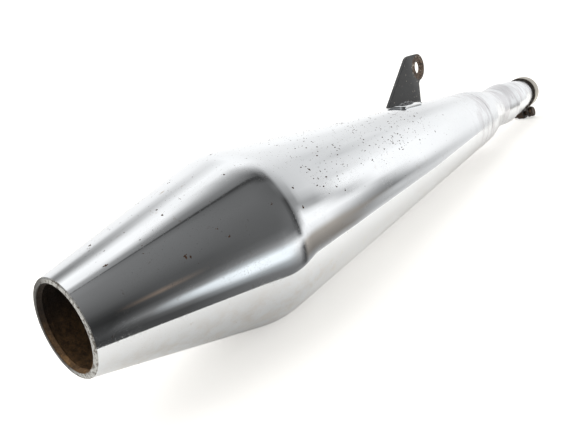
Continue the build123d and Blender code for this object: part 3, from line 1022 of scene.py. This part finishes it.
def build_floor():
    """Plane that slopes from under the shoulder to under the clamp bolt."""
    shoulder_x = max(tail_profile, key=lambda p: p[1])[0]
    shoulder_z = -max(r for x, r in tail_profile)
    bolt_low = min(v.co.z for v in frame["nodes"]["clamp_bolt"].data.vertices)
    slope = (bolt_low - shoulder_z) / (bolt_centre.x - shoulder_x)
    bm = bmesh.new()
    corners = []
    for x_side, y_side in ((-1, -1), (1, -1), (1, 1), (-1, 1)):
        x = x_side * FLOOR_REACH
        y = y_side * FLOOR_REACH
        z = shoulder_z - FLOOR_GAP + slope * (x - shoulder_x)
        corners.append(bm.verts.new((x, y, z)))
    bm.faces.new(corners)
    mesh = bpy.data.meshes.new("floor")
    bm.to_mesh(mesh)
    bm.free()
    floor = bpy.data.objects.new("floor", mesh)
    mesh.materials.append(stage_material())
    bpy.context.scene.collection.objects.link(floor)


def grey(level, tint=(1.0, 1.0, 1.0)):
    return rgb(*(level * t for t in tint))


BLUE = (0.95, 1.0, 1.03)
BEIGE = (1.0, 0.985, 0.955)
BROWN = (1.09, 1.0, 0.90)
PINK = (1.35, 1.05, 0.85)
# What mirror rays meet: brightness by their angle round the muffler's axis, in degrees (0 towards
# -Y, 90 up), for rays whose direction runs along +X by the share given first. A third entry tints
# a stop.
STUDIO = (
    (-0.50, (
        (-60, 0.05), (-20, 0.07), (30, 0.12), (62, 0.45), (110, 0.50), (140, 0.16), (180, 0.12),
    )),
    (-0.06, (
        (-50, 0.07), (-42, 0.058), (-34, 0.045), (-26, 0.065), (-18, 0.055), (-10, 0.042),
        (-2, 0.028), (6, 0.034), (14, 0.06), (22, 0.10), (30, 0.125), (38, 0.145), (54, 0.18),
        (62, 0.195), (70, 0.23), (77.6, 0.26), (78.2, 0.13), (79.2, 0.13), (80, 0.34), (86, 0.45),
        (92, 1.1), (110, 1.15), (117, 0.72), (125, 0.34), (132, 0.21), (140, 0.28), (147, 0.74),
        (155, 0.94), (180, 1.0),
    )),
    (0.02, (
        (-50, 0.07), (-42, 0.065), (-34, 0.055), (-26, 0.09), (-18, 0.24), (-10, 0.12), (-4, 0.07),
        (2, 0.08), (6, 0.17, PINK), (11, 0.09), (18, 0.095), (26, 0.115), (38, 0.15), (54, 0.175),
        (70, 0.19), (77.4, 0.17), (78, 0.08), (79.2, 0.08), (80, 0.26), (86, 0.36), (92, 0.95),
        (110, 1.15), (117, 0.72), (125, 0.34), (132, 0.21), (140, 0.28), (147, 0.74), (155, 0.94),
        (180, 1.0),
    )),
    (0.11, (
        (-50, 0.08), (-42, 0.07), (-34, 0.07), (-27, 0.18), (-20, 0.80, BLUE), (-16, 0.95, BLUE),
        (-11, 0.28), (-5, 0.14), (3, 0.09), (18, 0.095), (26, 0.12), (38, 0.145), (54, 0.165),
        (70, 0.185), (77, 0.145), (77.8, 0.06), (79.2, 0.06), (80.2, 0.20), (86, 0.27), (92, 0.72),
        (97, 1.1), (110, 1.1), (117, 0.76), (124, 0.38), (132, 0.24), (140, 0.30), (148, 0.76),
        (156, 0.95), (180, 1.0),
    )),
    (0.20, (
        (-50, 0.12), (-42, 0.13), (-34, 0.13), (-28, 0.42, BLUE), (-22, 1.1, BLUE),
        (-14, 1.15, BLUE), (-10, 0.6, BLUE), (-5, 0.25), (3, 0.14), (10, 0.11), (26, 0.12),
        (38, 0.13), (54, 0.155), (68, 0.155), (76, 0.125), (77.4, 0.05), (79.2, 0.05),
        (80.4, 0.175), (86, 0.23), (92, 0.46), (96, 0.78), (101, 1.1), (110, 1.1), (117, 0.90),
        (124, 0.52), (131, 0.42), (139, 0.46), (147, 0.84), (156, 0.97), (180, 1.0),
    )),
    (0.30, (
        (-50, 0.15), (-44, 0.17), (-36, 0.19), (-28, 0.46, BLUE), (-22, 1.1, BLUE),
        (-13, 1.15, BLUE), (-7, 0.50), (0, 0.22), (10, 0.13), (18, 0.12), (38, 0.13), (62, 0.14),
        (72, 0.13), (76.4, 0.05), (78.8, 0.05), (80.4, 0.17), (87, 0.24), (95, 0.42), (101, 0.66),
        (107, 1.0), (116, 1.1), (124, 0.82), (131, 0.60), (139, 0.68), (147, 0.92), (155, 1.02),
        (180, 1.0),
    )),
    (0.52, (
        (-54, 0.70), (-47, 0.30), (-40, 0.18), (-31, 0.37), (-23, 0.62), (-15, 1.15), (-10, 0.85),
        (-6, 0.42), (2, 0.15), (18, 0.15), (35, 0.135), (50, 0.12), (67, 0.125), (72, 0.06),
        (77, 0.05), (84, 0.12), (91, 0.34), (99, 0.74), (105, 1.1), (130, 1.1), (140, 1.04),
        (180, 1.06),
    )),
    (0.62, (
        (-60, 0.85), (-52, 0.60), (-46, 0.30), (-43, 0.08), (-22, 0.05), (-17, 0.55), (-12, 0.95),
        (-8, 0.30), (-5, 0.05), (38, 0.055), (44, 0.12), (58, 0.18), (74, 0.12), (84, 0.26),
        (92, 0.52), (100, 0.85), (108, 1.05), (180, 1.08),
    )),
    (0.68, (
        (-60, 0.95, BEIGE), (-52, 0.66), (-44, 0.34), (-36, 0.22, BROWN), (-28, 0.32, BROWN),
        (-20, 0.46, BROWN), (-13, 0.98), (-6, 1.0), (2, 0.62), (10, 0.42), (20, 0.30), (36, 0.28),
        (50, 0.38), (66, 0.46), (86, 0.62), (98, 0.86), (110, 1.0), (180, 1.08),
    )),
    (0.77, (
        (-60, 0.95, BEIGE), (-53, 0.75, BEIGE), (-46, 0.30), (-38, 0.20, BROWN), (-30, 0.28, BROWN),
        (-21, 0.38, BROWN), (-13, 0.95), (-4, 1.15), (9, 1.15), (15, 0.90), (20, 0.55), (27, 0.33),
        (36, 0.33), (46, 0.42), (56, 0.48), (65, 0.57), (85, 0.70), (95, 0.80), (110, 0.88),
        (130, 0.95), (146, 1.08), (180, 1.1),
    )),
    (0.83, (
        (-60, 1.0, BEIGE), (-52, 0.52), (-42, 0.22, BROWN), (-32, 0.29, BROWN), (-23, 0.40, BROWN),
        (-13, 0.92), (-3, 1.15), (7, 1.1), (13, 0.80), (18, 0.43), (25, 0.40), (34, 0.60),
        (45, 0.75), (85, 0.76), (95, 0.72), (105, 0.84), (116, 0.92), (130, 0.94), (146, 1.06),
        (180, 1.1),
    )),
    (0.86, (
        (-60, 1.0, BEIGE), (-52, 0.70), (-45, 0.45), (-36, 0.33), (-28, 0.27, BROWN), (-20, 0.40),
        (-12, 0.62), (-4, 0.97), (1, 0.85), (7, 0.57), (14, 0.62), (21, 0.95), (28, 1.1),
        (37, 1.04), (45, 0.80), (57, 0.84), (70, 0.78), (77, 0.65), (85, 0.72), (95, 0.85),
        (106, 0.84), (118, 0.88), (140, 0.91), (156, 1.02), (180, 1.1),
    )),
    (0.89, (
        (-60, 1.0, BEIGE), (-54, 0.70), (-45, 0.55), (-37, 0.62), (-32, 0.52), (-27, 0.23),
        (-17, 0.32), (-9, 0.50), (-3, 0.62), (4, 1.0), (12, 1.12), (40, 1.12), (50, 1.0),
        (60, 0.92), (70, 0.85), (80, 0.85), (88, 0.79), (97, 0.86), (110, 0.84), (130, 0.81),
        (148, 0.84), (158, 1.0), (180, 1.1),
    )),
    (0.92, (
        (-60, 1.0, BEIGE), (-53, 0.71), (-44, 0.75), (-35, 0.58), (-25, 0.62), (-15, 0.90),
        (-5, 1.08), (5, 1.12), (40, 1.12), (55, 1.02), (75, 0.99), (88, 0.95), (97, 0.84),
        (110, 0.80), (118, 0.82), (130, 0.92), (145, 1.0), (180, 1.08),
    )),
    (0.95, (
        (-60, 0.92, BEIGE), (-50, 0.83), (-40, 0.80), (-30, 0.82), (-15, 0.92), (0, 1.02),
        (20, 1.05), (60, 1.06), (90, 1.03), (120, 1.02), (180, 1.06),
    )),
)


def build_world(backdrop, fill):
    """Plain room of even light. Mirror rays meet the softboxes and dark gaps of STUDIO instead."""
    world = bpy.data.worlds.new("studio")
    bpy.context.scene.world = world
    world.use_nodes = True
    n = Nodes(world.node_tree)
    ray = n.axes("Generated")
    angle = n.math("ARCTAN2", ray["Z"], n.times(ray["Y"], -1.0))
    turn = n.spread(angle, -math.pi, math.pi)
    ramps = []
    for share, stops in STUDIO:
        ramps.append(n.ramp(turn, [
            ((degrees + 180) / 360, grey(level, *tint)) for degrees, level, *tint in stops
        ]))
    shares = [share for share, stops in STUDIO]
    colour = ramps[0]
    for before, share, ramp in zip(shares, shares[1:], ramps[1:]):
        colour = n.mix(n.spread(ray["X"], before, share), colour, ramp)
    path = n.add("ShaderNodeLightPath")
    plain = n.mix(path.outputs["Is Camera Ray"], grey(fill, BEIGE), grey(backdrop))
    shown = n.mix(path.outputs["Is Glossy Ray"], plain, colour)
    background = n.add("ShaderNodeBackground")
    n.link(shown, background.inputs["Color"])
    output = n.add("ShaderNodeOutputWorld")
    n.link(background.outputs["Background"], output.inputs["Surface"])


LIGHT_TOWARDS = Vector((0.10, -0.50, -0.86))
LIGHT_SPREAD = math.radians(80)


def build_light():
    """Broad soft light from above and behind, so that the shadow falls towards the camera."""
    data = bpy.data.lights.new("softbox", "SUN")
    data.energy = 1.3
    data.angle = LIGHT_SPREAD
    data.color = (1.0, 0.99, 0.975)
    light = bpy.data.objects.new("softbox", data)
    light.rotation_mode = "QUATERNION"
    light.rotation_quaternion = LIGHT_TOWARDS.to_track_quat("-Z", "Y")
    light.visible_glossy = False
    bpy.context.scene.collection.objects.link(light)


CAMERA_PLACE = Vector((-0.6996, -0.2359, 0.0953))
CAMERA_FORWARD = Vector((0.7029, 0.6565, -0.2738))
CAMERA_UP = Vector((0.3313, 0.0384, 0.9427))
LENS = 34.76  # millimetres, on a sensor 36 wide


def build_camera():
    """Low, from the outlet end, looking along the muffler, rolled a little clockwise."""
    data = bpy.data.cameras.new("camera")
    data.sensor_width = 36.0
    data.lens = LENS
    camera = bpy.data.objects.new("camera", data)
    forward = CAMERA_FORWARD.normalized()
    right = forward.cross(CAMERA_UP).normalized()
    up = right.cross(forward)
    turn = Matrix((right, up, -forward)).transposed().to_4x4()
    camera.matrix_world = Matrix.Translation(CAMERA_PLACE) @ turn
    bpy.context.scene.collection.objects.link(camera)
    bpy.context.scene.camera = camera


build_floor()
build_world(backdrop=1.3, fill=0.72)
build_light()
build_camera()
bpy.context.scene.view_settings.view_transform = "Standard"
